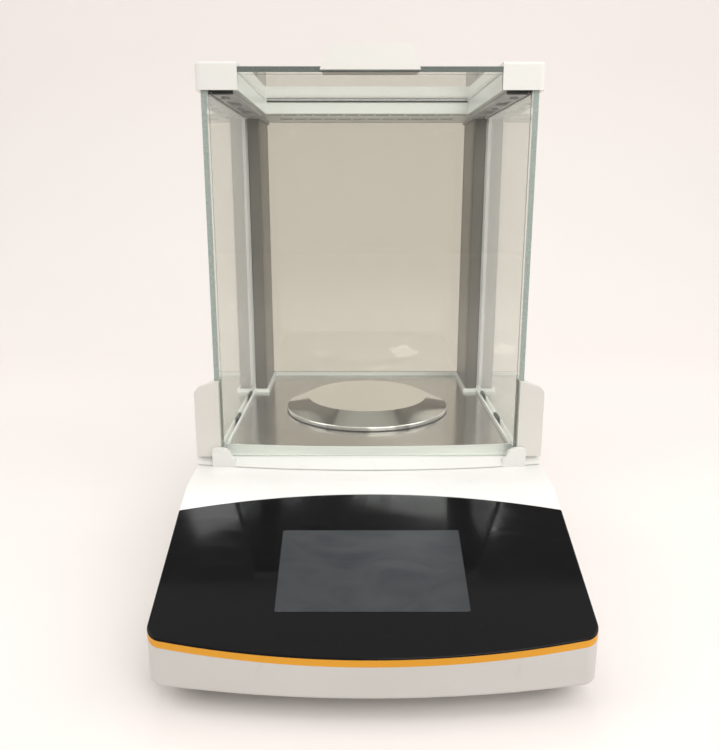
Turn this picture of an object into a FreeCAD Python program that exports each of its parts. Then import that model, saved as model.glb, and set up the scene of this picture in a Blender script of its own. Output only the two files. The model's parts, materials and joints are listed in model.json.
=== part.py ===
"""Analytical balance with a glass draft shield, modelled as separate sub-parts.

Units are millimetres. +X is the balance's right, +Y its back and +Z up. The origin is on the
table under the centre of the footprint. Each sub-part is written to parts/NODE.step.
"""
import FreeCAD, Part
import math
import os

from FreeCAD import Vector

OUT = "parts"

# ---------------------------------------------------------------- driving dimensions
WIDTH = 215.0
DEPTH = 360.0
FOOT_HEIGHT = 12.0          # clear height under the base
DECK_Z = 74.0               # top of the base, under the draft shield
TILT = 20.0                 # slope of the display, in degrees
WALL = 3.0                  # base shells

HALF_W = WIDTH / 2
FRONT_Y = -DEPTH / 2
REAR_Y = DEPTH / 2
FRONT_BOW_R = 515.0         # the base's front edge is an arc in plan
FRONT_CORNER_R, REAR_CORNER_R = 9.0, 12.0
DISPLAY_FRONT_Z = 34.0      # height of the display's surface at the front edge
DISPLAY_BACK_BOW_R = 476.0  # the display's back edge bows the other way
DISPLAY_BACK_Y = -77.5
DISPLAY_THICK = 0.8
SCREEN_W, SCREEN_H = 95.0, 54.0
SCREEN_Y = -129.8           # centre of the screen
STRIPE_H = 3.6
STRIPE_BACK_Y = FRONT_Y + 17.0   # where the stripe ends, round the front corners
STRIPE_DEEP = 1.6
DECK_ROUND_R = 60.0         # rounding between the deck and the slope
SPLIT_Z = 44.0              # joint between the two base shells along the sides
SHOULDER_R = 1.0            # rounding of the base's top edges
SEAM, SEAM_DEEP = 0.5, 1.2  # shadow gap between the shells
SEAM_Y = -134.0             # the gap runs from here to the back
HUGE = 150.0                # half size of the blocks that cut the base

SHIELD_Y = -35.5            # front plane of the draft shield
PAN_X, PAN_Y = 0.0, 67.5
PAN_R = 60.0

FRAME_TOP = 79.0            # lower shield frame, outer ledge
FRAME_LIP = 0.9             # upright edge under its sloping front skirt
FOOT_IN, FOOT_UP = 0.9, 0.4  # shadow gap where the frame stands on the base
BORDER_TOP = 84.0           # its raised border round the floor
FLOOR_Z = 81.5
FLOOR_THICK = 1.0
FLOOR_HALF_W = 89.7
FLOOR_BOW_R = 700.0
BORDER = 1.2
FRAME_BOW_R = 555.0         # foot of the skirt
FRAME_FRONT_Y = SHIELD_Y - 11.7
RIDGE_BOW_R = 900.0         # top of the skirt
RIDGE_Y = SHIELD_Y - 4.0
FRAME_FLOOR = 76.0          # bottom of the grooves in the frame

DOOR_IN, DOOR_THICK = 92.0, 3.2
DOOR_FRONT_Y, DOOR_LONG = SHIELD_Y + 2.0, 158.0
DOOR_BOTTOM, DOOR_TOP = 77.0, 299.5
DOOR_OUT = DOOR_IN + DOOR_THICK
GROOVE_IN, GROOVE_OUT = 91.0, 96.6
FRONT_GLASS_Y = SHIELD_Y + 1.0
FRONT_GLASS_HALF = 90.8
GAP = 0.1                   # glass to the sides of its groove

POST_IN, POST_OUT = 81.2, 90.0
POST_Y0, POST_Y1 = SHIELD_Y + 149.3, SHIELD_Y + 206.9
POST_TOP = 293.4

RAIL_IN, RAIL_OUT = 74.2, 98.2
RAIL_Z0, RAIL_Z1 = 295.7, 310.6
RAIL_REAR_Y = 176.5
RAIL_CORNER_R = 4.0
ROOF_Y0 = SHIELD_Y + 134.6
TOP_GLASS_Z = 305.0
GLASS = 3.0
TOP_GLASS_LONG = 152.0
TOP_TRACK = 2.2             # depth of the top glass's groove in each rail
REAR_GLASS_Y = POST_Y1 + 0.2
REAR_GLASS_HALF = 88.0


# ---------------------------------------------------------------- small helpers
def box(x0, x1, y0, y1, z0, z1):
    return Part.makeBox(x1 - x0, y1 - y0, z1 - z0, Vector(x0, y0, z0))


def rod(x, y, z0, z1, r):
    return Part.makeCylinder(r, z1 - z0, Vector(x, y, z0))


def rod_x(x0, x1, y, z, r):
    return Part.makeCylinder(r, x1 - x0, Vector(x0, y, z), Vector(1, 0, 0))


def rod_y(x, y0, y1, z, r):
    return Part.makeCylinder(r, y1 - y0, Vector(x, y0, z), Vector(0, 1, 0))


def fused(shapes):
    whole = shapes[0]
    for s in shapes[1:]:
        whole = whole.fuse(s)
    return whole.removeSplitter()


def group(shapes):
    """Separate solids that share one node."""
    return Part.makeCompound([s for shape in shapes for s in shape.Solids])


def mirrored(shape):
    return shape.mirror(Vector(0, 0, 0), Vector(1, 0, 0))


def is_upright(edge):
    a, b = edge.Vertexes[0].Point, edge.Vertexes[-1].Point
    return abs(a.x - b.x) < 1e-6 and abs(a.y - b.y) < 1e-6 and abs(a.z - b.z) > 1e-6


def round_upright(shape, radius, keep=lambda p: True):
    edges = [e for e in shape.Edges if is_upright(e) and keep(e.Vertexes[0].Point)]
    return shape.makeFillet(radius, edges)


def round_level(shape, radius, z):
    """Fillets the edges that lie wholly in the plane at height z."""
    edges = [e for e in shape.Edges if all(abs(v.Point.z - z) < 1e-6 for v in e.Vertexes)]
    return shape.makeFillet(radius, edges)


def outline_wire(points):
    """A closed wire. An entry is a point, or (mid, end) for an arc."""
    edges = []
    last = Vector(*points[0])
    for entry in list(points[1:]) + [points[0]]:
        if isinstance(entry[0], tuple):
            mid, end = Vector(*entry[0]), Vector(*entry[1])
            edges.append(Part.Arc(last, mid, end).toShape())
        else:
            end = Vector(*entry)
            edges.append(Part.LineSegment(last, end).toShape())
        last = end
    return Part.Wire(edges)


def plate(points, thickness, axis):
    return Part.Face(outline_wire(points)).extrude(Vector(*axis) * thickness)


def sagitta(radius, half_width):
    return radius - math.sqrt(radius ** 2 - half_width ** 2)


def bowed_outline(half_w, front_y, bow_r, rear_y, z):
    """A closed wire whose front edge is an arc, furthest forward at the middle."""
    corner_y = front_y + sagitta(bow_r, half_w)
    points = [
        (-half_w, rear_y, z),
        (-half_w, corner_y, z),
        ((0, front_y, z), (half_w, corner_y, z)),
        (half_w, rear_y, z),
    ]
    return outline_wire(points)


def bowed(half_w, front_y, bow_r, rear_y, z0, z1):
    foot = Part.Face(bowed_outline(half_w, front_y, bow_r, rear_y, z0))
    return foot.extrude(Vector(0, 0, z1 - z0))


def slope_z(y):
    """Height of the display's surface at y."""
    return DISPLAY_FRONT_Z + (y - FRONT_Y) * math.tan(math.radians(TILT))


def top_z(y):
    """Height of the base's top at y, with the rounding between slope and deck."""
    a = math.radians(TILT)
    deck_y = FRONT_Y + (DECK_Z - DISPLAY_FRONT_Z) / math.tan(a) + DECK_ROUND_R * math.tan(a / 2)
    if y >= deck_y:
        return DECK_Z
    if y <= deck_y - DECK_ROUND_R * math.sin(a):
        return slope_z(y)
    return DECK_Z - DECK_ROUND_R + math.sqrt(DECK_ROUND_R ** 2 - (deck_y - y) ** 2)


def above_slope(drop):
    """Everything above the deck and the display's slope, lowered by drop."""
    a = math.radians(TILT)
    corner_y = FRONT_Y + (DECK_Z - DISPLAY_FRONT_Z) / math.tan(a)
    tangent = DECK_ROUND_R * math.tan(a / 2)
    on_slope = (corner_y - tangent * math.cos(a), DECK_Z - tangent * math.sin(a))
    on_deck = (corner_y + tangent, DECK_Z)
    middle = (
        on_deck[0] - DECK_ROUND_R * math.sin(a / 2),
        DECK_Z - DECK_ROUND_R * (1 - math.cos(a / 2)),
    )
    x, far, high = -150.0, 40.0, 160.0
    outline = [
        (x, FRONT_Y - far, slope_z(FRONT_Y - far) - drop),
        (x, on_slope[0], on_slope[1] - drop),
        ((x, middle[0], middle[1] - drop), (x, on_deck[0], on_deck[1] - drop)),
        (x, REAR_Y + far, DECK_Z - drop),
        (x, REAR_Y + far, high),
        (x, FRONT_Y - far, high),
    ]
    return plate(outline, 300.0, (1, 0, 0))


def below_split():
    """Everything that belongs to the lower base shell."""
    under = DISPLAY_THICK / math.cos(math.radians(TILT)) + STRIPE_H
    level_y = FRONT_Y + (SPLIT_Z - DISPLAY_FRONT_Z + under) / math.tan(math.radians(TILT))
    x, far = -150.0, 40.0
    outline = [
        (x, FRONT_Y - far, slope_z(FRONT_Y - far) - under),
        (x, level_y, SPLIT_Z),
        (x, REAR_Y + far, SPLIT_Z),
        (x, REAR_Y + far, 0),
        (x, FRONT_Y - far, 0),
    ]
    return plate(outline, 300.0, (1, 0, 0))


def on_slope_box(width, height, z0, z1, dx=0.0, along=0.0):
    """A box standing on the display's surface: z0 and z1 are measured square to it."""
    b = Part.makeBox(width, height, z1 - z0, Vector(dx - width / 2, along - height / 2, z0))
    b.rotate(Vector(0, 0, 0), Vector(1, 0, 0), TILT)
    b.translate(Vector(0, SCREEN_Y, slope_z(SCREEN_Y)))
    return b


# ---------------------------------------------------------------- base
def base_block(inset, z0):
    block = bowed(HALF_W - inset, FRONT_Y + inset, FRONT_BOW_R - inset, REAR_Y - inset, z0, DECK_Z)
    block = round_upright(block, FRONT_CORNER_R - inset, lambda p: p.y < 0)
    block = round_upright(block, REAR_CORNER_R - inset, lambda p: p.y > 0)
    return block


def shoulder_edges(shape):
    """The edges all round the top of the base, where the deck and the display meet the walls."""
    found = []
    for edge in shape.Edges:
        ends = [v.Point for v in edge.Vertexes]
        on_top = all(abs(p.z - top_z(p.y)) < 0.01 for p in ends)
        across = all(abs(p.x) > HALF_W - 0.01 for p in ends) and ends[0].x * ends[-1].x < 0
        if on_top and not across:
            found.append(edge)
    return found


def base_shells():
    """Lower tray, upper cover, accent stripe and display glass, cut from one outer form."""
    outer = round_level(base_block(0.0, FOOT_HEIGHT), 2.5, FOOT_HEIGHT).cut(above_slope(0.0))
    outer = outer.makeFillet(SHOULDER_R, shoulder_edges(outer))
    cavity = base_block(WALL, FOOT_HEIGHT + WALL).cut(above_slope(DISPLAY_THICK + WALL + 0.5))

    under_glass = DISPLAY_THICK / math.cos(math.radians(TILT))
    glass_layer = outer.common(above_slope(under_glass))
    corner_y = DISPLAY_BACK_Y - sagitta(DISPLAY_BACK_BOW_R, HALF_W)
    plan = [
        (-HALF_W, FRONT_Y - 20, 0),
        (HALF_W, FRONT_Y - 20, 0),
        (HALF_W, corner_y, 0),
        ((0, DISPLAY_BACK_Y, 0), (-HALF_W, corner_y, 0)),
    ]
    glass = glass_layer.common(plate(plan, DECK_Z, (0, 0, 1)))
    window = on_slope_box(SCREEN_W, SCREEN_H, -8.0, 8.0)

    stripe_skin = outer.cut(base_block(STRIPE_DEEP, 0.0)).cut(above_slope(under_glass))
    front = box(-HUGE, HUGE, FRONT_Y - 5, STRIPE_BACK_Y, 0, DECK_Z)
    stripe = stripe_skin.cut(below_split()).common(front)

    shell = outer.cut(cavity).cut(glass).cut(stripe)
    gap = box(-HUGE, HUGE, SEAM_Y, REAR_Y + 1, SPLIT_Z, SPLIT_Z + SEAM)
    shell = shell.cut(gap.cut(base_block(SEAM_DEEP, 0.0)))
    lower = shell.common(below_split())
    upper = shell.cut(below_split())
    upper = upper.cut(on_slope_box(SCREEN_W + 0.4, SCREEN_H + 0.4, -12.0, 8.0))
    upper = upper.cut(rod(PAN_X, PAN_Y, 60, 90, 12.0))
    return lower, upper, stripe, glass.cut(window)


FOOT_X, FOOT_FRONT_Y, FOOT_REAR_Y = 84.0, -146.0, 148.0
FOOT_THREAD_R = 3.0
FOOT_FIT = 0.05
BALL_Z = 4.2
HOUSING_SCREWS = [(-92, -120), (92, -120), (-92, 20), (92, 20), (-92, 120), (92, 120)]


def foot_places(y):
    return [(-FOOT_X, y), (FOOT_X, y)]


def lower_housing(shell):
    bottom = FOOT_HEIGHT + WALL
    bosses = [rod(x, y, bottom - 0.5, 34.0, 8.0) for x, y in foot_places(FOOT_REAR_Y)]
    bosses += [rod(x, y, bottom - 0.5, SPLIT_Z - 6.0, 4.0) for x, y in HOUSING_SCREWS]
    body = fused([shell] + bosses)
    for x, y in foot_places(FOOT_REAR_Y):
        body = body.cut(rod(x, y, 0, 40.0, FOOT_THREAD_R + FOOT_FIT))
    for x, y in foot_places(FOOT_FRONT_Y):
        body = body.cut(rod(x, y, 0, FOOT_HEIGHT + 1.5, 10.0))
    for x, y in HOUSING_SCREWS:
        body = body.cut(rod(x, y, 0, 60.0, 1.6)).cut(rod(x, y, 0, FOOT_HEIGHT + 2.0, 3.2))
    body = body.cut(rod(PAN_X, PAN_Y, 0, 20.0, HANGER_R))
    body = body.cut(rod(PAN_X, PAN_Y + HANGER_ARM, 0, 20.0, RIVET_R))
    for slot in range(-3, 4):
        body = body.cut(box(slot * 7 - 1.5, slot * 7 + 1.5, -60, -25, 0, 20))
    return body.cut(rear_port_cuts())


def upper_housing(shell):
    bosses = []
    for x, y in HOUSING_SCREWS:
        top = min(slope_z(y), DECK_Z) - WALL - DISPLAY_THICK
        bosses.append(rod(x, y, SPLIT_Z - 5.6, top, 4.0).cut(rod(x, y, 0, SPLIT_Z + 3.0, 1.25)))
    body = fused([shell] + bosses).cut(rear_port_cuts())
    recess = box(-PLATE_W / 2, PLATE_W / 2, REAR_Y - PLATE_DEEP, REAR_Y + 1, PLATE_Z, PLATE_Z + PLATE_H)
    return body.cut(recess)


def housing_screws():
    screws = []
    for x, y in HOUSING_SCREWS:
        head = rod(x, y, FOOT_HEIGHT + 0.6, FOOT_HEIGHT + 2.0, 3.0)
        slot = box(x - 2.0, x + 2.0, y - 0.4, y + 0.4, FOOT_HEIGHT + 0.6, FOOT_HEIGHT + 1.2)
        slot = slot.fuse(box(x - 0.4, x + 0.4, y - 2.0, y + 2.0, FOOT_HEIGHT + 0.6, FOOT_HEIGHT + 1.2))
        screws.append(fused([head, rod(x, y, FOOT_HEIGHT + 2.0, SPLIT_Z + 2.0, 1.2)]).cut(slot))
    return group(screws)


HANGER_R = 9.0              # opening for a hook below the pan
HANGER_ARM = 17.0
RIVET_R = 1.5


def hanger_cover():
    """Plate that swings aside from the opening under the pan."""
    z0, z1 = FOOT_HEIGHT - 1.3, FOOT_HEIGHT - 0.2
    y1 = PAN_Y + HANGER_ARM
    arm = box(PAN_X - 5.0, PAN_X + 5.0, PAN_Y, y1, z0, z1)
    cover = fused([rod(PAN_X, PAN_Y, z0, z1, HANGER_R + 1.5), arm, rod(PAN_X, y1, z0, z1, 5.0)])
    tab = box(PAN_X - 3.0, PAN_X + 3.0, PAN_Y - HANGER_R - 4.0, PAN_Y - HANGER_R, z0 - 1.5, z1)
    return fused([cover, tab]).cut(rod(PAN_X, y1, 0, 20, RIVET_R + FOOT_FIT))


def hanger_rivet():
    y1 = PAN_Y + HANGER_ARM
    head = rod(PAN_X, y1, FOOT_HEIGHT - 2.4, FOOT_HEIGHT - 1.4, 3.0)
    return fused([head, rod(PAN_X, y1, FOOT_HEIGHT - 1.4, FOOT_HEIGHT + WALL, RIVET_R)])


# ---------------------------------------------------------------- rear connectors
PLATE_W, PLATE_H, PLATE_Z, PLATE_DEEP = 60.0, 16.0, 50.0, 0.5
PORT_Z = 32.0
POWER_X, USB_X, SERIAL_X, LOCK_X = -78.0, -48.0, 0.0, 52.0
SERIAL_HALF, SERIAL_HIGH = 21.0, 6.0
KEY_SLOT_X = 82.0


def rear_port_cuts():
    wall0, wall1 = REAR_Y - WALL - 1, REAR_Y + 1
    cuts = [rod_y(POWER_X, wall0, wall1, PORT_Z, 6.0)]
    windows = [
        (USB_X, 5.0, 3.0),
        (SERIAL_X, SERIAL_HALF, SERIAL_HIGH),
        (LOCK_X, 6.0, 3.0),
        (KEY_SLOT_X, 3.5, 1.5),
    ]
    for x, half_w, half_h in windows:
        cuts.append(box(x - half_w, x + half_w, wall0, wall1, PORT_Z - half_h, PORT_Z + half_h))
    return fused(cuts)


def power_socket():
    body = rod_y(POWER_X, REAR_Y - 14, REAR_Y - 0.4, PORT_Z, 5.8)
    well = rod_y(POWER_X, REAR_Y - 11, REAR_Y, PORT_Z, 2.9)
    return fused([body.cut(well), rod_y(POWER_X, REAR_Y - 12, REAR_Y - 2.5, PORT_Z, 1.0)])


def usb_socket():
    shell = box(USB_X - 4.8, USB_X + 4.8, REAR_Y - 12, REAR_Y - 0.4, PORT_Z - 2.8, PORT_Z + 2.8)
    well = box(USB_X - 4.0, USB_X + 4.0, REAR_Y - 9, REAR_Y, PORT_Z - 2.0, PORT_Z + 2.0)
    tongue = box(USB_X - 3.0, USB_X + 3.0, REAR_Y - 10, REAR_Y - 2, PORT_Z - 0.5, PORT_Z + 0.7)
    return fused([shell.cut(well), tongue])


def serial_socket():
    """A wide female connector: flange, shell and two rows of contact holes."""
    z0, z1 = PORT_Z - SERIAL_HIGH + 0.2, PORT_Z + SERIAL_HIGH - 0.2
    body = box(-SERIAL_HALF + 0.2, SERIAL_HALF - 0.2, REAR_Y - 10, REAR_Y - 1.6, z0, z1)
    nose = box(-15.5, 15.5, REAR_Y - 1.6, REAR_Y - 0.3, PORT_Z - 4.0, PORT_Z + 4.0)
    body = fused([body, round_nose(nose)])
    for row, count in ((1.5, 13), (-1.5, 12)):
        for i in range(count):
            x = (i - (count - 1) / 2) * 2.2
            body = body.cut(rod_y(x, REAR_Y - 5, REAR_Y, PORT_Z + row, 0.6))
    return body


def round_nose(nose):
    edges = [e for e in nose.Edges if abs(e.Vertexes[0].Point.x - e.Vertexes[-1].Point.x) < 1e-6
             and abs(e.Vertexes[0].Point.z - e.Vertexes[-1].Point.z) < 1e-6]
    return nose.makeFillet(1.5, edges)


def lock_switch():
    """Housing and the slide that locks the menu."""
    housing = box(LOCK_X - 5.8, LOCK_X + 5.8, REAR_Y - 9, REAR_Y - 1.2, PORT_Z - 2.8, PORT_Z + 2.8)
    track = box(LOCK_X - 4.5, LOCK_X + 4.5, REAR_Y - 5, REAR_Y, PORT_Z - 1.6, PORT_Z + 1.6)
    knob = box(LOCK_X - 4.0, LOCK_X - 0.4, REAR_Y - 4.6, REAR_Y - 0.2, PORT_Z - 1.3, PORT_Z + 1.3)
    for i in range(3):
        x = LOCK_X - 3.2 + i * 1.0
        knob = knob.cut(box(x - 0.2, x + 0.2, REAR_Y - 0.6, REAR_Y, PORT_Z - 1.3, PORT_Z + 1.3))
    return housing.cut(track), knob


def rating_plate():
    edge = 0.2
    plate_y = REAR_Y - PLATE_DEEP
    return box(-PLATE_W / 2 + edge, PLATE_W / 2 - edge, plate_y, plate_y + 0.4,
               PLATE_Z + edge, PLATE_Z + PLATE_H - edge)


# ---------------------------------------------------------------- feet
def front_feet():
    feet = []
    for x, y in foot_places(FOOT_FRONT_Y):
        foot = rod(x, y, 0, FOOT_HEIGHT + 1.5, 9.8)
        foot = round_level(foot, 1.2, 0)
        feet.append(foot)
    return group(feet)


def foot_wheel(x, y):
    """Knurled wheel that turns the levelling foot."""
    radius, z0, z1, flutes = 14.0, 4.9, 9.4, 30
    wheel = rod(x, y, z0, z1, radius)
    for i in range(flutes):
        a = 2 * math.pi * i / flutes
        wheel = wheel.cut(rod(x + radius * math.cos(a), y + radius * math.sin(a), z0, z1, 0.7))
    wheel = fused([wheel, rod(x, y, z1, z1 + 1.0, 6.0)])
    return wheel.cut(rod(x, y, 0, 20, FOOT_THREAD_R))


def foot_spindle(x, y):
    """Threaded rod with a ball end."""
    spindle = rod(x, y, BALL_Z, 32.0, FOOT_THREAD_R)
    return spindle.fuse(Part.makeSphere(FOOT_THREAD_R, Vector(x, y, BALL_Z))).removeSplitter()


def foot_pad(x, y):
    """Rubber pad that the ball end turns in."""
    pad = round_level(rod(x, y, 0, 3.8, 11.0), 1.0, 0)
    return pad.cut(Part.makeSphere(FOOT_THREAD_R + FOOT_FIT, Vector(x, y, BALL_Z)))


# ---------------------------------------------------------------- electronics
def touch_screen():
    return on_slope_box(SCREEN_W, SCREEN_H, -6.0, 0.0)


def board_with_chips(board, chips):
    return fused([board] + chips)


def display_board():
    board = on_slope_box(118, 64, -9.6, -8.0)
    chips = [
        on_slope_box(14, 14, -11.4, -9.6, -30, 8),
        on_slope_box(9, 6, -11.0, -9.6, 5, -12),
        on_slope_box(22, 6, -12.6, -9.6, 34, 16),
        on_slope_box(6, 6, -10.8, -9.6, 20, -18),
    ]
    return board_with_chips(board, chips)


def main_board():
    x0, x1, y0, y1, z = -82.0, -38.0, -20.0, 132.0, 20.0
    board = box(x0, x1, y0, y1, z, z + 1.6)
    top = z + 1.6
    chips = [
        box(-78, -58, 20, 40, top, top + 1.6),
        box(-80, -68, 60, 68, top, top + 1.4),
        box(-62, -47, 84, 94, top, top + 6.0),
        box(-80, -70, 84, 92, top, top + 3.0),
        rod(-60, 112, top, top + 12, 5.0),
        rod(-74, 112, top, top + 12, 5.0),
        box(-80, -72, 0, 8, top, top + 2.0),
    ]
    corners = [(x, y) for x in (x0 + 6, x1 - 6) for y in (y0 + 6, y1 - 10)]
    posts = [rod(x, y, FOOT_HEIGHT + WALL, z, 3.0) for x, y in corners]
    return board_with_chips(board, chips), group(posts)


def display_ribbon():
    """Flat cable from the display board back to the main board."""
    x, wide, thick = -58.0, 18.0, 0.5
    route = [(-112.0, 46.4), (-60.0, 30.0), (-26.0, 21.7), (-12.0, 21.7)]
    outline = [(x, y, z) for y, z in route] + [(x, y, z + thick) for y, z in reversed(route)]
    return plate(outline, wide, (1, 0, 0))


# ---------------------------------------------------------------- weigh cell
CELL_Z0 = FOOT_HEIGHT + WALL
CELL_Y0, CELL_Y1, CELL_TOP = 90.0, 168.0, 62.0
FULCRUM_Y, FULCRUM_Z, FULCRUM_R = 98.0, 43.0, 1.45
COIL_Y, MAGNET_R = 138.0, 24.0
LINK_Y = 86.2               # where the carrier pulls on the lever
CARRIER_Y0, CARRIER_Y1 = 58.0, 77.0
CARRIER_Z0, CARRIER_Z1 = 18.5, 58.0
GUIDE_Z = (20.6, 53.6)


def weigh_cell_frame():
    block = box(-32, 32, CELL_Y0, CELL_Y1, CELL_Z0, CELL_TOP)
    block = block.cut(rod(0, COIL_Y, CELL_Z0 + 4, CELL_TOP + 1, MAGNET_R + 0.3))
    block = block.cut(box(-9, 9, CELL_Y0 - 1, COIL_Y, 36, CELL_TOP + 1))
    block = block.cut(rod_x(-13, 13, FULCRUM_Y, FULCRUM_Z, FULCRUM_R))
    for z in GUIDE_Z:
        block = block.cut(box(-24, 24, CELL_Y0 - 1, CELL_Y0 + 20, z - 1.6, z + 2.8))
    for x in (-27, 27):
        for y in (CELL_Y0 + 6, CELL_Y1 - 6):
            block = block.cut(rod(x, y, 50, CELL_TOP + 1, 2.0))
    return block


def guide_arms():
    """Two parallel guides that hold the load carrier upright."""
    arms = []
    for z in GUIDE_Z:
        arm = box(-22, 22, CARRIER_Y1 + 0.1, CELL_Y0 + 20, z, z + 1.2)
        arms.append(arm.cut(box(-14, 14, CARRIER_Y1 + 7, CELL_Y0 + 12, z - 1, z + 3)))
    return group(arms)


def magnet_pot():
    pot = rod(0, COIL_Y, CELL_Z0 + 4, 36, MAGNET_R)
    return pot.cut(rod(0, COIL_Y, CELL_Z0 + 8, 60, 19.5).cut(rod(0, COIL_Y, 0, 60, 12.0)))


def lever():
    beam = box(-5, 5, LINK_Y - 1.2, COIL_Y + 4, FULCRUM_Z - 3, FULCRUM_Z + 3)
    beam = beam.cut(box(-8, 8, 105, 118, FULCRUM_Z - 1.2, FULCRUM_Z + 1.2))
    hub = rod_x(-7, 7, FULCRUM_Y, FULCRUM_Z, 4.0)
    neck = rod(0, COIL_Y, 38.5, FULCRUM_Z, 17.0)
    return fused([beam, hub, neck]).cut(rod_x(-20, 20, FULCRUM_Y, FULCRUM_Z, FULCRUM_R + 0.05))


def lever_coil():
    return rod(0, COIL_Y, 28.0, 38.5, 17.0).cut(rod(0, COIL_Y, 20, 60, 14.5))


def lever_pivot_pin():
    return rod_x(-12.5, 12.5, FULCRUM_Y, FULCRUM_Z, FULCRUM_R)


def load_carrier():
    """Block that carries the pan, with a tongue to the lever and an arm for the weight."""
    block = box(-16, 16, CARRIER_Y0, CARRIER_Y1, CARRIER_Z0, CARRIER_Z1)
    block = block.cut(box(-10, 10, CARRIER_Y0 - 1, CARRIER_Y1 - 5, 30, 40))
    tongue = box(-4, 4, CARRIER_Y1 - 1, LINK_Y + 2, 30.0, 34.0)
    arm = box(-2.5, 2.5, CAL_Y - 5, CARRIER_Y0 + 1, 21.5, ARM_TOP)
    return fused([block, tongue, arm, rod(PAN_X, PAN_Y, CARRIER_Z1, 70, 8.0)])


def lever_link():
    """Thin flexure from the carrier's tongue up to the lever."""
    return box(-3, 3, LINK_Y - 0.2, LINK_Y + 0.2, 34.0, FULCRUM_Z - 3.1)


def pan_support():
    """Spindle that carries the pan, with the cone the pan sits on."""
    stem = rod(PAN_X, PAN_Y, 70, 80, 4.0)
    flange = rod(PAN_X, PAN_Y, 76.0, 78.0, 9.0)
    cone = Part.makeCone(5.0, 3.5, 6.0, Vector(PAN_X, PAN_Y, 80.0))
    return fused([stem, flange, cone])


# ---------------------------------------------------------------- calibration weight
CAL_Y, CAL_Z = 40.0, 36.0   # axis of the weight
CAL_R, WAIST_R = 8.0, 6.0
ARM_TOP = 25.5
LIFT_X, MOTOR_X = 34.0, 54.0
GEAR_R, PINION_R = 13.9, 6.0
SCREW_R = 2.0


def calibration_weight():
    body = rod_x(-20, 20, CAL_Y, CAL_Z, CAL_R)
    ring = rod_x(-4, 4, CAL_Y, CAL_Z, CAL_R + 1).cut(rod_x(-5, 5, CAL_Y, CAL_Z, WAIST_R))
    return body.cut(ring)


def calibration_cradle():
    """Holds the weight clear of the carrier's arm, and lowers it onto the arm."""
    z0, z1 = CAL_Z - 12, CAL_Z - 4
    cradle = box(-22, LIFT_X + 6, CAL_Y - 11, CAL_Y + 11, z0, z1)
    cradle = cradle.cut(rod_x(-30, 21, CAL_Y, CAL_Z, CAL_R + FOOT_FIT))
    cradle = cradle.cut(box(-3.5, 3.5, CAL_Y - 7, CAL_Y + 12, z0 - 1, z1 + 1))
    cradle = fused([cradle, rod(LIFT_X, CAL_Y, z0, CAL_Z + 6, 6.0)])
    return cradle.cut(rod(LIFT_X, CAL_Y, 0, 60, SCREW_R + FOOT_FIT))


def calibration_screw():
    """Lifting screw with its gear wheel."""
    return fused([rod(LIFT_X, CAL_Y, 18.1, 52, SCREW_R), rod(LIFT_X, CAL_Y, 46, 50, GEAR_R)])


def calibration_pinion():
    return fused([rod(MOTOR_X, CAL_Y, 42.1, 46.4, 1.5), rod(MOTOR_X, CAL_Y, 46.4, 49.6, PINION_R)])


def calibration_motor():
    can = rod(MOTOR_X, CAL_Y, 17.0, 42.0, 10.0)
    base = box(LIFT_X - 8, MOTOR_X + 12, CAL_Y - 13, CAL_Y + 13, CELL_Z0, 17.0)
    post = rod(LIFT_X, CAL_Y, 17.0, 19.0, 4.0)
    return fused([can, base, post]).cut(rod(LIFT_X, CAL_Y, 18.0, 22, SCREW_R + FOOT_FIT))


# ---------------------------------------------------------------- draft shield, lower frame
def floor_outline(grow, z0, z1):
    """The chamber floor: bowed in front, stepped in at the back round the posts."""
    wide = bowed(FLOOR_HALF_W + grow, SHIELD_Y + 6.0 - grow, FLOOR_BOW_R, POST_Y0 - 2.2 + grow, z0, z1)
    half = POST_IN - 2.2 + grow
    narrow = box(-half, half, POST_Y0 - 10, REAR_GLASS_Y - 2.5 + grow, z0, z1)
    return wide.fuse(narrow).removeSplitter()


def skirt():
    """The frame's outer ledge, whose front slopes up from a bowed foot to a flatter ridge."""
    foot_y, foot_r = FRAME_FRONT_Y + FOOT_IN, FRAME_BOW_R - FOOT_IN
    foot_top, lip_top = DECK_Z + FOOT_UP, DECK_Z + FRAME_LIP
    foot = bowed(HALF_W - FOOT_IN, foot_y, foot_r, REAR_Y - FOOT_IN, DECK_Z, foot_top)
    lip = bowed(HALF_W, FRAME_FRONT_Y, FRAME_BOW_R, REAR_Y, foot_top, lip_top)
    low = bowed_outline(HALF_W, FRAME_FRONT_Y, FRAME_BOW_R, REAR_Y, lip_top)
    high = bowed_outline(HALF_W, RIDGE_Y, RIDGE_BOW_R, REAR_Y, FRAME_TOP)
    return fused([foot, lip, Part.makeLoft([low, high], True, True)])


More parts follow.
